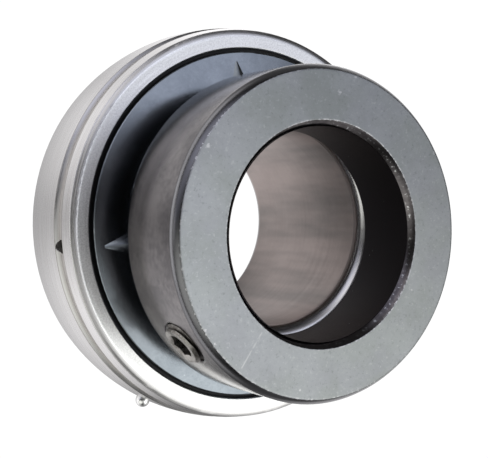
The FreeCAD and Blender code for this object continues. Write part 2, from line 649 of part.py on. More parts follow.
def eccentric_collar(doc):
    """Drawn in line with the bore, then turned on the cam as it lies when no shaft is in."""
    body = new_body(doc, "eccentric_collar")
    throat_r = f"({COLLAR_BORE_R} + Sizes.throat_bevel)"
    front_crown = crown_radius("Sizes.front_bevel_depth", "Sizes.front_bevel_length")
    mouth_crown = crown_radius("Sizes.mouth_bevel", "Sizes.mouth_bevel")
    turn(body, "collar", (
        (throat_r, COLLAR_BACK),
        (f"{COLLAR_R} - Sizes.back_bevel_depth", COLLAR_BACK),
        (COLLAR_R, f"{COLLAR_BACK} + Sizes.back_bevel_length"),
        (COLLAR_R, f"{COLLAR_FRONT} - Sizes.front_bevel_length", front_crown, 1),
        (f"{COLLAR_R} - Sizes.front_bevel_depth", COLLAR_FRONT),
        (f"{COLLAR_BORE_R} + Sizes.mouth_bevel", COLLAR_FRONT, mouth_crown, 1),
        (COLLAR_BORE_R, f"{COLLAR_FRONT} - Sizes.mouth_bevel"),
        (COLLAR_BORE_R, f"{INNER_FACE} + Sizes.throat_bevel"),
        (throat_r, INNER_FACE),
    ))
    recess_sketch = add_sketch(body, "XY_Plane", "recess_outline")
    recess_sketch.setExpression("AttachmentOffset", turned_place("0", "0", INNER_FACE, "0"))
    draw_circle(recess_sketch, CAM_X, CAM_Y, RECESS_R)
    before = body.Shape.Volume
    recess = body.newObject("PartDesign::Pocket", "recess")
    recess.Profile = recess_sketch
    recess.setExpression("Length", "Sizes.recess_depth + Sizes.overrun")
    doc.recompute()
    must_cut(before, recess)
    rims = rim_names(recess, body.evalExpression(RECESS_R), body.evalExpression(COLLAR_BACK))
    dress_edges(body, "recess_mouth", "PartDesign::Chamfer", recess, rims, "Size", "Sizes.recess_bevel")
    hole_r = f"({SCREW_R} + Sizes.screw_clearance)"
    direction = "Sizes.screw_turn - Sizes.collar_turned"
    drill_inwards(body, "screw_hole", SCREW_HEIGHT, direction, (
        ("0", "0"),
        (f"{COLLAR_R} + Sizes.overrun", "0"),
        (f"{COLLAR_R} + Sizes.overrun", f"{hole_r} + Sizes.screw_countersink + Sizes.overrun"),
        (f"{COLLAR_R} - Sizes.screw_countersink", hole_r),
        ("0", hole_r),
    ))
    body.setExpression("Placement", collar_place("0", "Sizes.collar_turned"))
    return body


def set_screw(doc):
    body = new_body(doc, "set_screw")
    bevel_r = f"({SCREW_R} - Sizes.screw_bevel)"
    sketch = add_sketch(body, "XY_Plane", "screw_outline")
    draw_outline(sketch, (
        (f"{SCREW_POINT} + Sizes.cup_depth", "0"),
        (SCREW_END, "0"),
        (SCREW_END, bevel_r),
        (f"{SCREW_END} - Sizes.screw_bevel", SCREW_R),
        (f"{SCREW_POINT} + Sizes.screw_bevel", SCREW_R),
        (SCREW_POINT, bevel_r),
        (SCREW_POINT, "Sizes.cup_dia / 2"),
    ))
    shank = revolve(body, "shank", sketch, "H_Axis")
    socket_sketch = add_sketch(body, "YZ_Plane", "socket_outline")
    socket_sketch.setExpression("AttachmentOffset", turned_place("0", "0", SCREW_END, "0"))
    corner_r = "(Sizes.hex_flats / 2 / cos(30))"
    draw_outline(socket_sketch, tuple(
        (f"{corner_r} * cos({angle})", f"{corner_r} * sin({angle})") for angle in range(30, 390, 60)
    ))
    socket = body.newObject("PartDesign::Pocket", "socket")
    socket.Profile = socket_sketch
    socket.setExpression("Length", "Sizes.hex_depth")
    doc.recompute()
    must_cut(shank.Shape.Volume, socket)
    before = body.Shape.Volume
    mouth_sketch = add_sketch(body, "XY_Plane", "mouth_outline")
    draw_outline(mouth_sketch, (
        (f"{SCREW_END} - Sizes.socket_mouth_depth", "0"),
        (SCREW_END, "0"),
        (SCREW_END, "Sizes.socket_mouth_dia / 2"),
    ))
    must_cut(before, revolve(body, "socket_mouth", mouth_sketch, "H_Axis", "PartDesign::Groove"))
    body.setExpression("Placement", collar_place(SCREW_HEIGHT, "Sizes.screw_turn"))
    return body


def check_objects(doc, pieces):
    doc.recompute()
    for item in doc.Objects:
        if "Invalid" in item.State or "Error" in item.State:
            raise RuntimeError(f"{item.Name} failed: {item.State}")
    for piece in pieces:
        if piece.Shape.isNull() or not piece.Shape.isValid():
            raise RuntimeError(f"{piece.Label} has no valid shape")


def main():
    doc = FreeCAD.newDocument("insert_bearing")
    sheet = make_sheet(doc)
    count = int(sheet.ball_count)
    pieces = [
        outer_ring(doc),
        anti_rotation_pin(doc),
        seal_shell(doc, "seal_shell_front"),
        seal_shell(doc, "seal_shell_back"),
        seal_lip(doc, "seal_lip_front"),
        seal_lip(doc, "seal_lip_back"),
        inner_ring(doc),
        flinger(doc, "flinger_front"),
        flinger(doc, "flinger_back"),
        cage_half(doc, "cage_front", count),
        cage_half(doc, "cage_back", count),
        cage_rivets(doc),
        eccentric_collar(doc),
        set_screw(doc),
    ]
    pieces += [ball(doc, number + 1, count) for number in range(count)]
    for piece in pieces:
        if piece.Label.endswith("_back"):
            flip_over(piece)
    check_objects(doc, pieces)
    os.makedirs("parts", exist_ok=True)
    for piece in pieces:
        piece.Shape.exportStep(f"parts/{piece.Label}.step")
        print(piece.Label, len(piece.Shape.Solids), round(piece.Shape.Volume, 1))


main()
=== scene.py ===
import math

import bpy
from mathutils import Matrix, Vector


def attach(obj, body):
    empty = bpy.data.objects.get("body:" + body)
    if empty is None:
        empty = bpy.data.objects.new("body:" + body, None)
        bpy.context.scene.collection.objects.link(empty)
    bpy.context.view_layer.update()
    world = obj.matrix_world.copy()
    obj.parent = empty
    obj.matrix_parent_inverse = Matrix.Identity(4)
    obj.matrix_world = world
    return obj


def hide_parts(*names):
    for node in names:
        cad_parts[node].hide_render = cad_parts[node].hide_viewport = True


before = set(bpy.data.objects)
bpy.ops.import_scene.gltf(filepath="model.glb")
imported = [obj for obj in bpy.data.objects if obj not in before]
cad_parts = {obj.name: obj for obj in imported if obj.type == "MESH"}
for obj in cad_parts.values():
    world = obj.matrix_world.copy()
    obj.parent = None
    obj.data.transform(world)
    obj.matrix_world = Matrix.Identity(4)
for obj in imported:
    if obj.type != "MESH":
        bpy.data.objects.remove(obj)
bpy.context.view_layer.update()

MM = 0.001

# Small enough to tell a face from what lies behind it
HAIR = 0.02 * MM

# Sizes that the finishes and the screw follow, as the solids have them; a pair is across and along
RING_FACE = 9.1 * MM
GROOVE_PLACE = 5.1 * MM
GROOVE_WIDTH = 2.4 * MM
GROOVE_FLOOR_R = 35.14 * MM
INNER_FACE = 18.85 * MM
FRONT_ROUND = 2.5 * MM
FLINGER_R = 30.93 * MM
FLINGER_TOP = 9.4 * MM
FLINGER_HUB_R = 24.0 * MM
COLLAR_R = 27.8 * MM
COLLAR_FRONT = 32.9 * MM
COLLAR_BORE_R = 17.65 * MM
FRONT_BEVEL = (1.0 * MM, 1.5 * MM)
MOUTH_BEVEL = 1.03 * MM
CAM_OFFSET = 0.95 * MM
CAM_TURN = math.radians(-56.0)
COLLAR_TURNED = math.radians(86.0)
SCREW_TURN = math.radians(-139.0)
SCREW_HEIGHT = 24.65 * MM
SCREW_END = 28.5 * MM
SCREW_LENGTH = 10.0 * MM
SCREW_R = 4.0 * MM
SCREW_BEVEL = 0.7 * MM
THREAD_PITCH = 1.0 * MM
THREAD_DEPTH = 0.55 * MM
HEX_HALF = 2.0 * MM
HEX_DEPTH = 3.6 * MM
SOCKET_MOUTH = (2.5 * MM, 1.4 * MM)
CUP_R = 1.8 * MM
CUP_DEPTH = 0.8 * MM
FLOOR = -INNER_FACE - HAIR

# How finely the screw is drawn, and how its thread falls from crest to root within one pitch
SCREW_STEPS = 96
RINGS_PER_TURN = 10
THREAD_CREST = 0.12
THREAD_SLOPE = 0.8
CUP_MIDDLE_R = CUP_R * 0.02
SHARP_ANGLE = math.radians(35)

# The flinger's dish isn't quite even: where it is flatter, where steeper, and by how much at the rim
FLATTER_SIDE = (-0.92, 0.39, 0.0)
STEEPER_SIDE = (-0.62, -0.785, 0.0)
FLATTER_MM = 0.42

# Where the collar's own axis lies, turned on its cam
COLLAR_AXIS = Vector((
    CAM_OFFSET * (math.cos(CAM_TURN) - math.cos(CAM_TURN + COLLAR_TURNED)),
    CAM_OFFSET * (math.sin(CAM_TURN) - math.sin(CAM_TURN + COLLAR_TURNED)),
    0.0,
))

# Struck marks on the collar's face, in mm: across, up, size
COLLAR_NICKS = (
    (-22.9, 11.5, 0.4), (4.2, 24.8, 0.28), (1.3, 22.0, 0.35), (21.7, 13.5, 0.25),
    (-22.0, -16.5, 0.3), (-20.3, -18.6, 0.2), (-4.2, -26.3, 0.25), (18.1, -10.2, 0.2),
)

# Worn rims of the collar, whose bare metal at the mouth also stands in as a painted highlight along its
# edges: radius, height, width of the wear in mm, and how much of it is bare
COLLAR_WEAR_AND_HIGHLIGHT = (
    (COLLAR_BORE_R + MOUTH_BEVEL, COLLAR_FRONT, 0.28, 0.72),
    (COLLAR_BORE_R + MOUTH_BEVEL * 0.4, COLLAR_FRONT - MOUTH_BEVEL * 0.6, 0.5, 0.5),
    (COLLAR_R - FRONT_BEVEL[0], COLLAR_FRONT, 0.3, 0.6),
)

# The scratch on the collar's face: where it starts, how it runs and its width in mm
COLLAR_SCRATCH = ((-11.9 * MM, -17.0 * MM, COLLAR_FRONT), (-3.4 * MM, -5.4 * MM, 0.0), 0.2)


# Shader building

def new_group(name, inputs, outputs):
    """A shader node group with named inputs (name, kind, value) and outputs (name, kind)."""
    group = bpy.data.node_groups.new(name, "ShaderNodeTree")
    for title, kind, value in inputs:
        socket = group.interface.new_socket(title, in_out="INPUT", socket_type="NodeSocket" + kind)
        socket.default_value = value
    for title, kind in outputs:
        group.interface.new_socket(title, in_out="OUTPUT", socket_type="NodeSocket" + kind)
    taken = group.nodes.new("NodeGroupInput").outputs
    given = group.nodes.new("NodeGroupOutput").inputs
    return group, taken, given


def join(tree, value, socket):
    """Links an output to a socket, or sets the socket to a plain value."""
    if isinstance(value, bpy.types.NodeSocket):
        tree.links.new(value, socket)
    else:
        socket.default_value = value


def calc(tree, operation, *values, clamp=False):
    """One step of arithmetic on numbers."""
    node = tree.nodes.new("ShaderNodeMath")
    node.operation = operation
    node.use_clamp = clamp
    for value, socket in zip(values, node.inputs):
        join(tree, value, socket)
    return node.outputs[0]


def vector_calc(tree, operation, *values):
    """One step of arithmetic on vectors or colours."""
    node = tree.nodes.new("ShaderNodeVectorMath")
    node.operation = operation
    for value, socket in zip(values, node.inputs):
        join(tree, value, socket)
    return node.outputs[1] if operation in ("LENGTH", "DISTANCE", "DOT_PRODUCT") else node.outputs[0]


def scaled(tree, vector, factor):
    """A vector or colour times a number."""
    node = tree.nodes.new("ShaderNodeVectorMath")
    node.operation = "SCALE"
    join(tree, vector, node.inputs[0])
    join(tree, factor, node.inputs["Scale"])
    return node.outputs[0]


def combine(tree, x, y, z):
    """Three numbers as one vector."""
    node = tree.nodes.new("ShaderNodeCombineXYZ")
    for value, socket in zip((x, y, z), node.inputs):
        join(tree, value, socket)
    return node.outputs[0]


def parts_of(tree, vector):
    """The three numbers of a vector."""
    node = tree.nodes.new("ShaderNodeSeparateXYZ")
    join(tree, vector, node.inputs[0])
    return node.outputs


def spread(tree, value, low, high, to_low=0.0, to_high=1.0, smooth=True):
    """Maps low..high onto to_low..to_high and holds it there outside."""
    node = tree.nodes.new("ShaderNodeMapRange")
    node.interpolation_type = "SMOOTHSTEP" if smooth else "LINEAR"
    for item, socket in zip((value, low, high, to_low, to_high), node.inputs):
        join(tree, item, socket)
    return node.outputs[0]


def noise(tree, vector, scale, detail=2.0, rough=0.5):
    """Soft random values around 0.5; scale is how many grains go into one unit of the vector."""
    node = tree.nodes.new("ShaderNodeTexNoise")
    join(tree, vector, node.inputs["Vector"])
    join(tree, scale, node.inputs["Scale"])
    node.inputs["Detail"].default_value = detail
    node.inputs["Roughness"].default_value = rough
    return node.outputs["Fac"]


def cells(tree, vector, scale):
    """Distance to the nearest of many scattered points, and a random value for each."""
    node = tree.nodes.new("ShaderNodeTexVoronoi")
    join(tree, vector, node.inputs["Vector"])
    join(tree, scale, node.inputs["Scale"])
    return node.outputs["Distance"], node.outputs["Color"]


def blend_colours(tree, factor, first, second):
    """Mixes two colours; inputs 6 and 7 and output 2 are the node's colour sockets."""
    node = tree.nodes.new("ShaderNodeMix")
    node.data_type = "RGBA"
    join(tree, factor, node.inputs[0])
    join(tree, first, node.inputs[6])
    join(tree, second, node.inputs[7])
    return node.outputs[2]


def use(tree, group, **values):
    """Places a group in a tree; the names of its inputs are given with _ for each space."""
    node = tree.nodes.new("ShaderNodeGroup")
    node.node_tree = group
    for title, value in values.items():
        join(tree, value, node.inputs[title.replace("_", " ")])
    return node.outputs


def around_axis_group():
    """Where a point lies on a turned piece: how far out, how high, and in which direction."""
    group, taken, given = new_group("around the axis", (
        ("Point", "Vector", (0, 0, 0)), ("Axis", "Vector", (0, 0, 0)),
    ), (("Out", "Float"), ("Up", "Float"), ("Direction", "Vector")))
    moved = vector_calc(group, "SUBTRACT", taken["Point"], taken["Axis"])
    flat = vector_calc(group, "MULTIPLY", moved, (1, 1, 0))
    group.links.new(vector_calc(group, "LENGTH", flat), given["Out"])
    group.links.new(parts_of(group, moved)[2], given["Up"])
    group.links.new(vector_calc(group, "NORMALIZE", flat), given["Direction"])
    return group


def turning_lines_group(around):
    """Fine lines that run round a turned or ground piece, broken along their length."""
    group, taken, given = new_group("turning lines", (
        ("Point", "Vector", (0, 0, 0)), ("Axis", "Vector", (0, 0, 0)),
        ("Lines per mm", "Float", 12.0), ("Broken", "Float", 3.0),
    ), (("Lines", "Float"),))
    place = use(group, around, Point=taken["Point"], Axis=taken["Axis"])
    pitch = calc(group, "MULTIPLY", taken["Lines per mm"], 1 / MM)
    across = calc(group, "MULTIPLY", calc(group, "ADD", place["Out"], place["Up"]), pitch)
    skew = calc(group, "MULTIPLY", calc(group, "SUBTRACT", place["Out"], place["Up"]), pitch)
    bent = scaled(group, place["Direction"], taken["Broken"])
    where = vector_calc(group, "ADD", bent, combine(group, 0.0, 0.0, across))
    other = vector_calc(group, "ADD", bent, combine(group, skew, 0.0, across))
    fine = noise(group, where, 1.0, 3.0, 0.6)
    broad = noise(group, other, 0.23, 2.0, 0.5)
    mixed = calc(group, "ADD", calc(group, "MULTIPLY", fine, 0.65), calc(group, "MULTIPLY", broad, 0.35))
    group.links.new(mixed, given["Lines"])
    return group


def edge_wear_group(around):
    """Wear on one round edge, with nicks: 1 where the metal shows bare."""
    group, taken, given = new_group("edge wear", (
        ("Point", "Vector", (0, 0, 0)), ("Axis", "Vector", (0, 0, 0)),
        ("Edge out", "Float", 0.02), ("Edge up", "Float", 0.0),
        ("Width mm", "Float", 0.25), ("Amount", "Float", 0.5), ("Grain", "Float", 1800.0),
    ), (("Mask", "Float"),))
    place = use(group, around, Point=taken["Point"], Axis=taken["Axis"])
    out = calc(group, "SUBTRACT", place["Out"], taken["Edge out"])
    up = calc(group, "SUBTRACT", place["Up"], taken["Edge up"])
    away = calc(group, "SQRT", calc(group, "ADD", calc(group, "MULTIPLY", out, out),
                                    calc(group, "MULTIPLY", up, up)))
    width = calc(group, "MULTIPLY", taken["Width mm"], MM)
    near = spread(group, away, 0.0, width, 1.0, 0.0)
    broken = noise(group, taken["Point"], taken["Grain"], 3.0, 0.6)
    floor = calc(group, "SUBTRACT", 0.78, calc(group, "MULTIPLY", taken["Amount"], 0.3))
    kept = spread(group, broken, calc(group, "SUBTRACT", floor, 0.05), floor)
    group.links.new(calc(group, "MULTIPLY", near, kept), given["Mask"])
    return group


def specks_group():
    """Scattered small specks, of which only some are kept."""
    group, taken, given = new_group("specks", (
        ("Point", "Vector", (0, 0, 0)), ("Per mm", "Float", 0.6),
        ("Size", "Float", 0.12), ("Kept", "Float", 0.3),
    ), (("Mask", "Float"),))
    scale = calc(group, "MULTIPLY", taken["Per mm"], 1 / MM)
    wobble = scaled(group, combine(group, noise(group, taken["Point"], 4000.0), 0.0, 0.0), 0.0004)
    away, chance = cells(group, vector_calc(group, "ADD", taken["Point"], wobble), scale)
    dot = spread(group, away, calc(group, "MULTIPLY", taken["Size"], 0.4), taken["Size"], 1.0, 0.0)
    kept = calc(group, "LESS_THAN", parts_of(group, chance)[0], taken["Kept"])
    group.links.new(calc(group, "MULTIPLY", dot, kept), given["Mask"])
    return group


def blotches_group():
    """Broad soft patches, as handling and oil leave them, with a finer cloud in them."""
    group, taken, given = new_group("blotches", (
        ("Point", "Vector", (0, 0, 0)), ("Patch mm", "Float", 8.0), ("Cloud mm", "Float", 1.2),
    ), (("Value", "Float"),))
    broad = noise(group, taken["Point"], calc(group, "DIVIDE", 1 / MM, taken["Patch mm"]), 3.0, 0.5)
    cloud = noise(group, taken["Point"], calc(group, "DIVIDE", 1 / MM, taken["Cloud mm"]), 4.0, 0.6)
    both = calc(group, "ADD", calc(group, "MULTIPLY", broad, 0.65), calc(group, "MULTIPLY", cloud, 0.35))
    group.links.new(both, given["Value"])
    return group


def nick_group():
    """One small struck mark, ragged at its edge."""
    group, taken, given = new_group("nick", (
        ("Point", "Vector", (0, 0, 0)), ("Place", "Vector", (0, 0, 0)), ("Size mm", "Float", 0.3),
    ), (("Mask", "Float"),))
    away = vector_calc(group, "DISTANCE", taken["Point"], taken["Place"])
    rag = spread(group, noise(group, taken["Point"], 3500.0), 0.3, 0.7, 0.5, 1.6)
    ragged = calc(group, "MULTIPLY", away, rag)
    size = calc(group, "MULTIPLY", taken["Size mm"], MM)
    core = calc(group, "MULTIPLY", size, 0.5)
    group.links.new(spread(group, ragged, core, size, 1.0, 0.0), given["Mask"])
    return group


def scratch_group():
    """A thin straight scratch from one point to another, fading where it skips."""
    group, taken, given = new_group("scratch", (
        ("Point", "Vector", (0, 0, 0)), ("From", "Vector", (0, 0, 0)), ("Along", "Vector", (0, 0, 0)),
        ("Width mm", "Float", 0.1),
    ), (("Mask", "Float"),))
    start = vector_calc(group, "SUBTRACT", taken["Point"], taken["From"])
    share = calc(group, "DIVIDE", vector_calc(group, "DOT_PRODUCT", start, taken["Along"]),
                 vector_calc(group, "DOT_PRODUCT", taken["Along"], taken["Along"]), clamp=True)
    away = vector_calc(group, "DISTANCE", start, scaled(group, taken["Along"], share))
    line = spread(group, away, 0.0, calc(group, "MULTIPLY", taken["Width mm"], MM), 1.0, 0.0)
    skips = spread(group, noise(group, taken["Point"], 700.0), 0.35, 0.6)
    group.links.new(calc(group, "MULTIPLY", line, skips), given["Mask"])
    return group


AROUND = around_axis_group()
LINES = turning_lines_group(AROUND)
EDGE_WEAR = edge_wear_group(AROUND)
SPECKS = specks_group()
BLOTCHES = blotches_group()
NICK = nick_group()
SCRATCH = scratch_group()


def new_material(name, colour, metallic, roughness):
    """An empty material with its shader, and the point on the piece that its patterns follow."""
    material = bpy.data.materials.new(name)
    material.use_nodes = True
    tree = material.node_tree
    shader = tree.nodes["Principled BSDF"]
    shader.inputs["Base Color"].default_value = (*colour, 1)
    shader.inputs["Metallic"].default_value = metallic
    shader.inputs["Roughness"].default_value = roughness
    point = tree.nodes.new("ShaderNodeTexCoord").outputs["Object"]
    return material, tree, shader, point


def bump(tree, shader, height, depth_mm, normal=None):
    """Feeds a height to the shader's normal; depth_mm is what a height of 1 stands for."""
    node = tree.nodes.new("ShaderNodeBump")
    node.inputs["Strength"].default_value = 1.0
    node.inputs["Distance"].default_value = depth_mm * MM
    join(tree, height, node.inputs["Height"])
    if normal is not None:
        join(tree, normal, node.inputs["Normal"])
    tree.links.new(node.outputs[0], shader.inputs["Normal"])
    return node.outputs[0]


def rounded_edges(tree, radius_mm):
    """The surface direction as it is where every sharp edge is broken by a small round."""
    node = tree.nodes.new("ShaderNodeBevel")
    node.samples = 6
    join(tree, calc(tree, "MULTIPLY", radius_mm, MM), node.inputs["Radius"])
    return node.outputs[0]


def brushed_round(tree, shader, amount):
    """Lets the shine spread across the lines that run round a turned piece, evenly all over it."""
    along = tree.nodes.new("ShaderNodeTangent")
    along.direction_type = "RADIAL"
    along.axis = "Z"
    tree.links.new(along.outputs[0], shader.inputs["Tangent"])
    shader.inputs["Anisotropic"].default_value = amount


def ground_steel():
    """The outer ring: ground round its sphere, finer on its faces, browned in the groove, with painted
    shade lines along the groove's lips.
    """
    material, tree, shader, point = new_material("ground bearing steel", (0.6, 0.58, 0.56), 1.0, 0.3)
    place = use(tree, AROUND, Point=point)
    lines = use(tree, LINES, Point=point, Lines_per_mm=9.0, Broken=5.0)["Lines"]
    patches = use(tree, BLOTCHES, Point=point, Patch_mm=9.0, Cloud_mm=1.5)["Value"]
    grain = noise(tree, point, 3400.0, 3.0, 0.75)
    from_groove = calc(tree, "ABSOLUTE", calc(tree, "SUBTRACT", place["Up"], GROOVE_PLACE))
    beside_groove = calc(tree, "LESS_THAN", from_groove, GROOVE_WIDTH * 0.55)
    low_down = spread(tree, place["Out"], GROOVE_FLOOR_R + 0.1 * MM, GROOVE_FLOOR_R + 0.4 * MM, 1.0, 0.0)
    in_groove = calc(tree, "MULTIPLY", beside_groove, low_down)
    # Painted shade: a thin dark line along each lip of the groove
    lip = calc(tree, "ABSOLUTE", calc(tree, "SUBTRACT", from_groove, GROOVE_WIDTH * 0.52))
    painted_lip_shade = spread(tree, lip, 0.0, 0.14 * MM, 1.0, 0.0)
    on_face = calc(tree, "GREATER_THAN", calc(tree, "ABSOLUTE", place["Up"]), RING_FACE - HAIR)
    steel = blend_colours(tree, patches, (0.56, 0.552, 0.55, 1), (0.69, 0.682, 0.68, 1))
    lined = blend_colours(tree, spread(tree, lines, 0.35, 0.65), (0.52, 0.51, 0.508, 1), steel)
    grained = blend_colours(tree, spread(tree, grain, 0.36, 0.64),
                            (0.79, 0.788, 0.782, 1), (0.98, 0.978, 0.97, 1))
    faced = blend_colours(tree, on_face, lined, grained)
    browned = blend_colours(tree, calc(tree, "MULTIPLY", in_groove, 0.45), faced, (0.5, 0.47, 0.43, 1))
    # The lips of the groove darkened as painted shade
    lip_shade_painted = blend_colours(tree, calc(tree, "MULTIPLY", painted_lip_shade, 0.7), browned, (0.16, 0.145, 0.12, 1))
    tree.links.new(lip_shade_painted, shader.inputs["Base Color"])
    smooth = spread(tree, lines, 0.3, 0.7, 0.22, 0.34)
    even = calc(tree, "ADD", smooth, calc(tree, "MULTIPLY", on_face, 0.06))
    rough = calc(tree, "ADD", even, calc(tree, "MULTIPLY", in_groove, 0.15))
    tree.links.new(rough, shader.inputs["Roughness"])
    brushed_round(tree, shader, 0.5)
    turned = bump(tree, shader, lines, 0.0035, rounded_edges(tree, 0.15))
    bump(tree, shader, calc(tree, "MULTIPLY", grain, on_face), 0.0025, turned)
    return material


def honed_steel():
    """The inner ring: a honed bore with a brown cast and painted light and shade in bands round it,
    brighter where its ends are rounded.
    """
    material, tree, shader, point = new_material("honed bearing steel", (0.42, 0.38, 0.365), 1.0, 0.35)
    place = use(tree, AROUND, Point=point)
    lines = use(tree, LINES, Point=point, Lines_per_mm=7.0, Broken=2.5)["Lines"]
    patches = use(tree, BLOTCHES, Point=point, Patch_mm=7.0, Cloud_mm=1.0)["Value"]
    at_end = spread(tree, calc(tree, "ABSOLUTE", place["Up"]), INNER_FACE - FRONT_ROUND * 1.1,
                    INNER_FACE - FRONT_ROUND * 0.7)
    # Painted light and shade: bands round the bore, a shaded (darker) and a lit (paler) copy of its
    # colour
    lift = combine(tree, 0.0, 0.0, calc(tree, "MULTIPLY", place["Up"], 9.0))
    along = vector_calc(tree, "ADD", place["Direction"], lift)
    painted_light_bands = spread(tree, noise(tree, along, 2.6, 3.0, 0.55), 0.32, 0.68)
    honed = blend_colours(tree, patches, (0.29, 0.262, 0.25, 1), (0.42, 0.385, 0.37, 1))
    painted_shade_tone = scaled(tree, honed, 0.72)
    pale = vector_calc(tree, "MULTIPLY", honed, (1.2, 1.12, 1.11))
    light_and_shade_painted = blend_colours(tree, painted_light_bands, painted_shade_tone, pale)
    ends = blend_colours(tree, at_end, light_and_shade_painted, (0.66, 0.65, 0.655, 1))
    tree.links.new(ends, shader.inputs["Base Color"])
    satin = spread(tree, lines, 0.3, 0.7, 0.28, 0.4)
    tree.links.new(calc(tree, "SUBTRACT", satin, calc(tree, "MULTIPLY", at_end, 0.06)),
                   shader.inputs["Roughness"])
    brushed_round(tree, shader, 0.3)
    bump(tree, shader, calc(tree, "MULTIPLY", lines, spread(tree, at_end, 0.0, 1.0, 1.0, 0.3)), 0.003)
    return material


def collar_bare(tree, point, axis):
    """Where the collar's oxide is gone: specks, worn rims, struck marks and the scratch; the worn rims at
    the mouth are also painted highlight.
    """
    specks = use(tree, SPECKS, Point=point, Per_mm=1.1, Size=0.11, Kept=0.02)["Mask"]
    start, along, thickness = COLLAR_SCRATCH
    scratch = use(tree, SCRATCH, Point=point, From=start, Along=along, Width_mm=thickness)["Mask"]
    bare = calc(tree, "MAXIMUM", specks, calc(tree, "MULTIPLY", scratch, 0.75))
    # Rim wear, which at the mouth is also painted highlight
    for out, up, width, amount in COLLAR_WEAR_AND_HIGHLIGHT:
        worn = use(tree, EDGE_WEAR, Point=point, Axis=axis, Edge_out=out, Edge_up=up,
                   Width_mm=width, Amount=amount)["Mask"]
        bare = calc(tree, "MAXIMUM", bare, worn)
    for across, up, size in COLLAR_NICKS:
        nick = use(tree, NICK, Point=point, Place=(across * MM, up * MM, COLLAR_FRONT),
                   Size_mm=size)["Mask"]
        bare = calc(tree, "MAXIMUM", bare, nick)
    return bare


def collar_face_colour(tree, point, patches):
    """The front face: a grey that turns a little green or blue, clouded, pitted and lightly spotted."""
    cast = noise(tree, point, 110.0, 3.0, 0.6)
    spots = noise(tree, point, 1500.0, 2.0, 0.8)
    tinted = blend_colours(tree, spread(tree, cast, 0.35, 0.65),
                           (0.272, 0.288, 0.284, 1), (0.29, 0.299, 0.314, 1))
    cloudy = calc(tree, "MULTIPLY", patches, 0.5)
    clouded = blend_colours(tree, cloudy, tinted, (0.36, 0.375, 0.385, 1))
    pits = spread(tree, spots, 0.58, 0.74, 0.0, 0.28)
    glints = spread(tree, spots, 0.26, 0.42, 0.25, 0.0)
    pitted = blend_colours(tree, pits, clouded, (0.1, 0.11, 0.11, 1))
    return blend_colours(tree, glints, pitted, (0.55, 0.56, 0.57, 1))


def blackened_collar():
    """The collar: black oxide with a satin face, bare metal on its rims that at the mouth also stands in
    as painted highlight, a scratch across the face, and painted shade in its bore.
    """
    axis = tuple(COLLAR_AXIS)
    material, tree, shader, point = new_material("black oxide collar", (0.12, 0.125, 0.13), 1.0, 0.4)
    place = use(tree, AROUND, Point=point, Axis=axis)
    lines = use(tree, LINES, Point=point, Axis=axis, Lines_per_mm=5.0, Broken=6.0)["Lines"]
    uneven = use(tree, BLOTCHES, Point=point, Patch_mm=8.0, Cloud_mm=0.9)["Value"]
    patches = spread(tree, uneven, 0.35, 0.65)
    grain = noise(tree, point, 4200.0, 3.0, 0.7)
    on_face = calc(tree, "GREATER_THAN", place["Up"], COLLAR_FRONT - HAIR)
    in_bore = calc(tree, "LESS_THAN", place["Out"], COLLAR_BORE_R + 0.05 * MM)
    side = blend_colours(tree, patches, (0.07, 0.064, 0.068, 1), (0.155, 0.143, 0.145, 1))
    near_front = calc(tree, "GREATER_THAN", place["Up"], COLLAR_FRONT - FRONT_BEVEL[1])
    outside = calc(tree, "GREATER_THAN", place["Out"], COLLAR_R - FRONT_BEVEL[0] - HAIR)
    on_bevel = calc(tree, "MULTIPLY", near_front, outside)
    bevelled = blend_colours(tree, on_bevel, side, (0.15, 0.15, 0.157, 1))
    both = blend_colours(tree, on_face, bevelled, collar_face_colour(tree, point, patches))
    # Painted shade: the bore is coloured almost black, far darker than the collar's side
    bore_shade_painted = blend_colours(tree, in_bore, both, (0.027, 0.0238, 0.0268, 1))
    coloured = blend_colours(tree, collar_bare(tree, point, axis), bore_shade_painted, (0.48, 0.48, 0.49, 1))
    tree.links.new(coloured, shader.inputs["Base Color"])
    shine = spread(tree, grain, 0.3, 0.7, 0.13, 0.2)
    satin = calc(tree, "ADD", shine, calc(tree, "MULTIPLY", on_face, 0.19))
    duller = calc(tree, "ADD", satin, calc(tree, "MULTIPLY", in_bore, 0.22))
    tree.links.new(duller, shader.inputs["Roughness"])
    brushed_round(tree, shader, 0.4)
    lined = calc(tree, "MULTIPLY", lines, calc(tree, "SUBTRACT", 1.0, on_face))
    round_mm = spread(tree, place["Out"], COLLAR_BORE_R + 2 * MM, COLLAR_R - 2 * MM, 0.15, 0.5)
    turned = bump(tree, shader, lined, 0.003, rounded_edges(tree, round_mm))
    bump(tree, shader, grain, 0.004, turned)
    return material


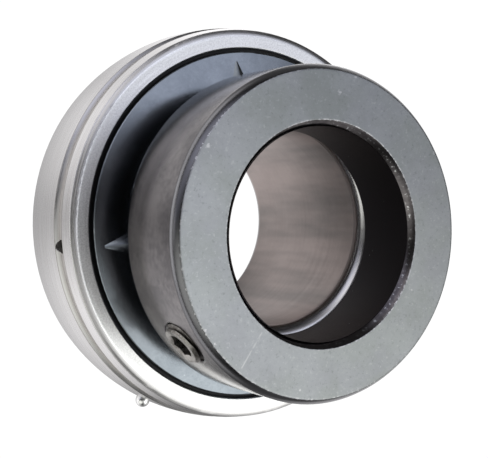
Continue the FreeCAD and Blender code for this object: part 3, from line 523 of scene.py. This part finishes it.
def blued_flinger():
    """The flingers: pressed sheet, blue-grey and satin, with bright specks at the rim."""
    material, tree, shader, point = new_material("blue-grey pressed steel", (0.12, 0.13, 0.16), 1.0, 0.42)
    patches = use(tree, BLOTCHES, Point=point, Patch_mm=6.0, Cloud_mm=0.7)["Value"]
    grain = noise(tree, point, 5200.0, 3.0, 0.7)
    mixed = calc(tree, "ADD", calc(tree, "MULTIPLY", patches, 0.6), calc(tree, "MULTIPLY", grain, 0.4))
    mottled = spread(tree, mixed, 0.36, 0.64)
    sheet = blend_colours(tree, mottled, (0.19, 0.211, 0.235, 1), (0.262, 0.288, 0.315, 1))
    rim = use(tree, EDGE_WEAR, Point=point, Edge_out=FLINGER_R, Edge_up=FLINGER_TOP,
              Width_mm=0.3, Amount=0.35)["Mask"]
    specks = use(tree, SPECKS, Point=point, Per_mm=0.8, Size=0.1, Kept=0.03)["Mask"]
    bare = calc(tree, "MAXIMUM", rim, specks)
    tree.links.new(blend_colours(tree, bare, sheet, (0.5, 0.52, 0.55, 1)), shader.inputs["Base Color"])
    tree.links.new(spread(tree, grain, 0.3, 0.7, 0.17, 0.24), shader.inputs["Roughness"])
    place = use(tree, AROUND, Point=point)
    sunk = spread(tree, place["Out"], FLINGER_HUB_R, FLINGER_R, 0.0, 1.0, smooth=False)
    to_flatter = vector_calc(tree, "DOT_PRODUCT", place["Direction"], FLATTER_SIDE)
    to_steeper = vector_calc(tree, "DOT_PRODUCT", place["Direction"], STEEPER_SIDE)
    flatter = spread(tree, to_flatter, 0.72, 1.0)
    steeper = spread(tree, to_steeper, 0.6, 1.0, 0.0, 0.4)
    uneven = calc(tree, "MULTIPLY", sunk, calc(tree, "SUBTRACT", flatter, steeper))
    eased = bump(tree, shader, uneven, FLATTER_MM)
    bump(tree, shader, grain, 0.0035, eased)
    return material


def seal_rubber():
    """The seals' lips: matt black rubber, a little uneven."""
    material, tree, shader, point = new_material("black seal rubber", (0.012, 0.012, 0.013), 0.0, 0.6)
    patches = use(tree, BLOTCHES, Point=point, Patch_mm=5.0, Cloud_mm=0.4)["Value"]
    tree.links.new(blend_colours(tree, patches, (0.008, 0.008, 0.009, 1), (0.02, 0.02, 0.022, 1)),
                   shader.inputs["Base Color"])
    bump(tree, shader, noise(tree, point, 3000.0), 0.004)
    return material


def blackened_shell():
    """The seals' pressed shells, blackened like the rubber that is bonded to them."""
    material, tree, shader, point = new_material("blackened shell", (0.02, 0.02, 0.022), 0.6, 0.5)
    grain = noise(tree, point, 3500.0, 3.0, 0.6)
    tree.links.new(blend_colours(tree, grain, (0.012, 0.012, 0.014, 1), (0.03, 0.03, 0.032, 1)),
                   shader.inputs["Base Color"])
    bump(tree, shader, grain, 0.003)
    return material


def worn_screw():
    """The set screw: worn oxide, bright on its crests, with painted shade that makes it almost black in
    its thread roots and socket.
    """
    material, tree, shader, point = new_material("worn screw steel", (0.4, 0.38, 0.36), 1.0, 0.35)
    patches = use(tree, BLOTCHES, Point=point, Patch_mm=1.6, Cloud_mm=0.3)["Value"]
    # Painted shade: the colour goes almost black where the surface is closed in, by how little open space
    # each spot sees
    open_air = tree.nodes.new("ShaderNodeAmbientOcclusion")
    open_air.samples = 8
    open_air.inputs["Distance"].default_value = 1.2 * MM
    worn = blend_colours(tree, spread(tree, patches, 0.38, 0.62),
                         (0.1, 0.092, 0.083, 1), (0.36, 0.345, 0.325, 1))
    unshaded_share = spread(tree, open_air.outputs["AO"], 0.45, 0.95)
    tree.links.new(blend_colours(tree, unshaded_share, (0.012, 0.01, 0.008, 1), worn), shader.inputs["Base Color"])
    grain = noise(tree, point, 2600.0, 4.0, 0.7)
    tree.links.new(spread(tree, grain, 0.3, 0.7, 0.25, 0.5), shader.inputs["Roughness"])
    bump(tree, shader, grain, 0.02)
    return material


def plain_metal(name, dark, light, low, high, patch_mm, depth_mm):
    """A metal whose colour and gloss drift a little over the piece; low and high are its roughness."""
    material, tree, shader, point = new_material(name, light, 1.0, low)
    patches = use(tree, BLOTCHES, Point=point, Patch_mm=patch_mm, Cloud_mm=patch_mm / 6)["Value"]
    tree.links.new(blend_colours(tree, patches, (*dark, 1), (*light, 1)), shader.inputs["Base Color"])
    grain = noise(tree, point, 4000.0, 3.0, 0.6)
    tree.links.new(spread(tree, grain, 0.3, 0.7, low, high), shader.inputs["Roughness"])
    bump(tree, shader, grain, depth_mm)
    return material


# The set screw with its thread

def skin_rings(name, rings):
    """A closed piece over rings of points that follow each other, with a flat cap at each end."""
    count = len(rings[0])
    faces = [tuple(reversed(range(count)))]
    for level in range(len(rings) - 1):
        low, high = level * count, (level + 1) * count
        for step in range(count):
            after = (step + 1) % count
            faces.append((low + step, low + after, high + after, high + step))
    faces.append(tuple(range(len(rings) * count - count, len(rings) * count)))
    mesh = bpy.data.meshes.new(name)
    mesh.from_pydata([point for ring in rings for point in ring], [], faces)
    mesh.shade_smooth()
    mesh.set_sharp_from_angle(angle=SHARP_ANGLE)
    piece = bpy.data.objects.new(name, mesh)
    bpy.context.scene.collection.objects.link(piece)
    return piece


def thread_radius(angle, along):
    """Radius of the thread: a flat crest, two slopes and a narrow root, turning right-handed."""
    phase = (along / THREAD_PITCH - angle / math.tau) % 1.0
    fall = min(max((1 - abs(2 * phase - 1) - THREAD_CREST) / THREAD_SLOPE, 0.0), 1.0)
    return SCREW_R - THREAD_DEPTH * fall


def threaded_screw():
    """The set screw from its cup point to its hexagon socket, as rings round its own axis."""
    point_end = SCREW_END - SCREW_LENGTH
    face_r = SCREW_R - SCREW_BEVEL
    mouth_r, mouth_depth = SOCKET_MOUTH
    outward = Vector((math.cos(SCREW_TURN), math.sin(SCREW_TURN), 0))
    sideways = Vector((-math.sin(SCREW_TURN), math.cos(SCREW_TURN), 0))
    middle = COLLAR_AXIS + Vector((0, 0, SCREW_HEIGHT))

    def ring(place_at):
        points = []
        for step in range(SCREW_STEPS):
            angle = math.tau * step / SCREW_STEPS
            radius, along = place_at(angle)
            around = sideways * math.cos(angle) + Vector((0, 0, 1)) * math.sin(angle)
            points.append(middle + outward * along + around * radius)
        return points

    def shank(along):
        room = min(along - point_end, SCREW_END - along) + face_r
        return lambda angle: (min(thread_radius(angle, along), room), along)

    def hexagon(angle):
        return HEX_HALF / math.cos((angle + math.pi / 6) % (math.pi / 3) - math.pi / 6)

    def socket_edge(angle):
        return hexagon(angle), SCREW_END - (mouth_r - hexagon(angle)) / mouth_r * mouth_depth

    rings = [
        ring(lambda angle: (CUP_MIDDLE_R, point_end + CUP_DEPTH)),
        ring(lambda angle: (CUP_R, point_end)),
    ]
    levels = round(SCREW_LENGTH / THREAD_PITCH * RINGS_PER_TURN)
    for level in range(levels + 1):
        rings.append(ring(shank(point_end + SCREW_LENGTH * level / levels)))
    rings.append(ring(lambda angle: (mouth_r, SCREW_END)))
    rings.append(ring(socket_edge))
    rings.append(ring(lambda angle: (hexagon(angle), SCREW_END - HEX_DEPTH)))
    screw = skin_rings("threaded_screw", rings)
    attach(screw, "screw")
    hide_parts("set_screw")
    return screw


# The finishes, each on the nodes that wear it

def dress_nodes():
    """Gives each node, and the threaded screw, the finish that the start of its name calls for."""
    finishes = {
        "outer_ring": ground_steel(),
        "inner_ring": honed_steel(),
        "eccentric_collar": blackened_collar(),
        "flinger": blued_flinger(),
        "seal_lip": seal_rubber(),
        "seal_shell": blackened_shell(),
        "ball": plain_metal("polished ball steel", (0.7, 0.7, 0.71), (0.8, 0.8, 0.81),
                            0.05, 0.1, 6.0, 0.0004),
        "cage": plain_metal("pressed cage steel", (0.42, 0.41, 0.4), (0.56, 0.55, 0.54),
                            0.3, 0.42, 4.0, 0.003),
        "anti_rotation_pin": plain_metal("polished pin steel", (0.7, 0.7, 0.69), (0.86, 0.86, 0.85),
                                         0.16, 0.26, 1.5, 0.002),
        "set_screw": worn_screw(),
    }
    threaded_screw().data.materials.append(finishes["set_screw"])
    for name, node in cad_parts.items():
        wear = [finish for start, finish in finishes.items() if name.startswith(start)][0]
        node.data.materials.clear()
        node.data.materials.append(wear)


dress_nodes()


# Camera, floor and light

def set_camera():
    """The photograph's view: from above the collar, a little to its -X side."""
    place = Vector((-103.04, 0.03, 177.29)) * MM
    right = Vector((0.8556, 0.0408, 0.516))
    up = Vector((-0.0323, 0.9992, -0.0255))
    focal_pixels, picture_width = 1089.5, 488
    camera = bpy.data.cameras.new("camera")
    camera.sensor_fit = "HORIZONTAL"
    camera.sensor_width = 36.0
    camera.lens = focal_pixels / picture_width * camera.sensor_width
    camera.clip_start = 0.01
    holder = bpy.data.objects.new("camera", camera)
    back = right.cross(up).normalized()
    level = back.cross(right.normalized())
    turn = Matrix((right.normalized(), level, back)).transposed()
    holder.matrix_world = Matrix.Translation(place) @ turn.to_4x4()
    bpy.context.scene.collection.objects.link(holder)
    bpy.context.scene.camera = holder


# Light off the floor: an even level, and pools by their middle, full and faded radius, and strength
FLOOR_LEVEL = 0.2
FLOOR_POOLS = (
    ((-0.06, 0.0), 0.01, 0.05, 0.42),
    ((-0.05, 0.05), 0.01, 0.055, 1.0),
    ((-0.05, -0.05), 0.01, 0.055, 1.1),
    ((-0.2, 0.0), 0.07, 0.12, 1.2),
    ((-0.42, 0.0), 0.12, 0.26, 1.2),
    ((-0.2, 0.22), 0.08, 0.22, 1.6),
    ((-0.2, -0.22), 0.08, 0.22, 1.3),
    ((0.09, -0.09), 0.03, 0.1, 0.7),
    ((0.02, 0.06), 0.015, 0.055, 1.4),
    ((0.09, 0.09), 0.03, 0.1, 0.5),
    ((0.01, 0.006), 0.004, 0.024, 0.6),
)


def set_floor():
    """A pale floor that reads as plain white paper to the eye and lights the part softly from below."""
    half = 3.0
    mesh = bpy.data.meshes.new("floor")
    corners = [(-half, -half, FLOOR), (half, -half, FLOOR), (half, half, FLOOR), (-half, half, FLOOR)]
    mesh.from_pydata(corners, [], [(0, 1, 2, 3)])
    floor = bpy.data.objects.new("floor", mesh)
    bpy.context.scene.collection.objects.link(floor)
    material = bpy.data.materials.new("white paper")
    material.use_nodes = True
    tree = material.node_tree
    tree.nodes.clear()
    seen = tree.nodes.new("ShaderNodeEmission")
    seen.inputs["Color"].default_value = (1, 1, 1, 1)
    seen.inputs["Strength"].default_value = 1.05
    glow = tree.nodes.new("ShaderNodeEmission")
    glow.inputs["Color"].default_value = (0.985, 0.975, 0.985, 1)
    place = tree.nodes.new("ShaderNodeTexCoord").outputs["Object"]
    total = FLOOR_LEVEL
    for middle, near, far, strength in FLOOR_POOLS:
        away = vector_calc(tree, "DISTANCE", place, (*middle, FLOOR))
        total = calc(tree, "ADD", total, spread(tree, away, near, far, strength, 0.0))
    join(tree, total, glow.inputs["Strength"])
    choose = tree.nodes.new("ShaderNodeMixShader")
    ray = tree.nodes.new("ShaderNodeLightPath")
    output = tree.nodes.new("ShaderNodeOutputMaterial")
    tree.links.new(ray.outputs["Is Camera Ray"], choose.inputs[0])
    tree.links.new(glow.outputs[0], choose.inputs[1])
    tree.links.new(seen.outputs[0], choose.inputs[2])
    tree.links.new(choose.outputs[0], output.inputs["Surface"])
    mesh.materials.append(material)


# Soft lights of the studio: direction about +Z and height in degrees, half angle, strength and colour
SOFT_LIGHTS = (
    (-42, 51, 38, 2.1, (1.0, 1.01, 0.99)),
    (-50, 12, 44, 0.6, (1.0, 1.0, 1.0)),
    (50, 63, 30, 1.2, (0.94, 0.98, 1.14)),
    (125, 25, 34, 0.9, (0.96, 0.98, 1.14)),
    (-144, 22, 42, 1.25, (1.0, 1.01, 0.96)),
    (-122, 64, 26, 0.6, (1.0, 1.0, 0.98)),
    (152, -2, 38, 0.55, (0.95, 0.96, 1.12)),
    (180, -2, 13, 0.9, (1.0, 1.0, 1.0)),
    (116, 54, 24, 1.1, (1.0, 0.99, 1.02)),
)
ROOM_LEVEL = 0.06


def sky_direction(turn, height):
    """The direction of a place in the sky, from its turn about +Z and its height in degrees."""
    turn, height = math.radians(turn), math.radians(height)
    return math.cos(height) * math.cos(turn), math.cos(height) * math.sin(turn), math.sin(height)


def soft_light_group():
    """How strongly a wide soft light shows in a direction: full at its middle, none past its rim."""
    group, taken, given = new_group("soft light", (
        ("Direction", "Vector", (0, 0, 1)), ("Toward", "Vector", (0, 0, 1)), ("Half angle", "Float", 0.5),
    ), (("Share", "Float"),))
    aim = vector_calc(group, "NORMALIZE", taken["Toward"])
    turned = calc(group, "ARCCOSINE", vector_calc(group, "DOT_PRODUCT", taken["Direction"], aim))
    group.links.new(spread(group, turned, calc(group, "MULTIPLY", taken["Half angle"], 0.25),
                           taken["Half angle"], 1.0, 0.0), given["Share"])
    return group


def set_world():
    """A dim room with a few wide soft lights."""
    world = bpy.data.worlds.new("studio")
    bpy.context.scene.world = world
    world.use_nodes = True
    tree = world.node_tree
    direction = tree.nodes.new("ShaderNodeTexCoord").outputs["Generated"]
    group = soft_light_group()
    total = combine(tree, ROOM_LEVEL, ROOM_LEVEL, ROOM_LEVEL)
    for turn, height, half_angle, strength, colour in SOFT_LIGHTS:
        share = use(tree, group, Direction=direction, Toward=sky_direction(turn, height),
                    Half_angle=math.radians(half_angle))["Share"]
        glow = scaled(tree, combine(tree, *colour), calc(tree, "MULTIPLY", share, strength))
        total = vector_calc(tree, "ADD", total, glow)
    tree.links.new(total, tree.nodes["Background"].inputs["Color"])


set_camera()
set_floor()
set_world()
bpy.context.scene.view_settings.view_transform = "Standard"
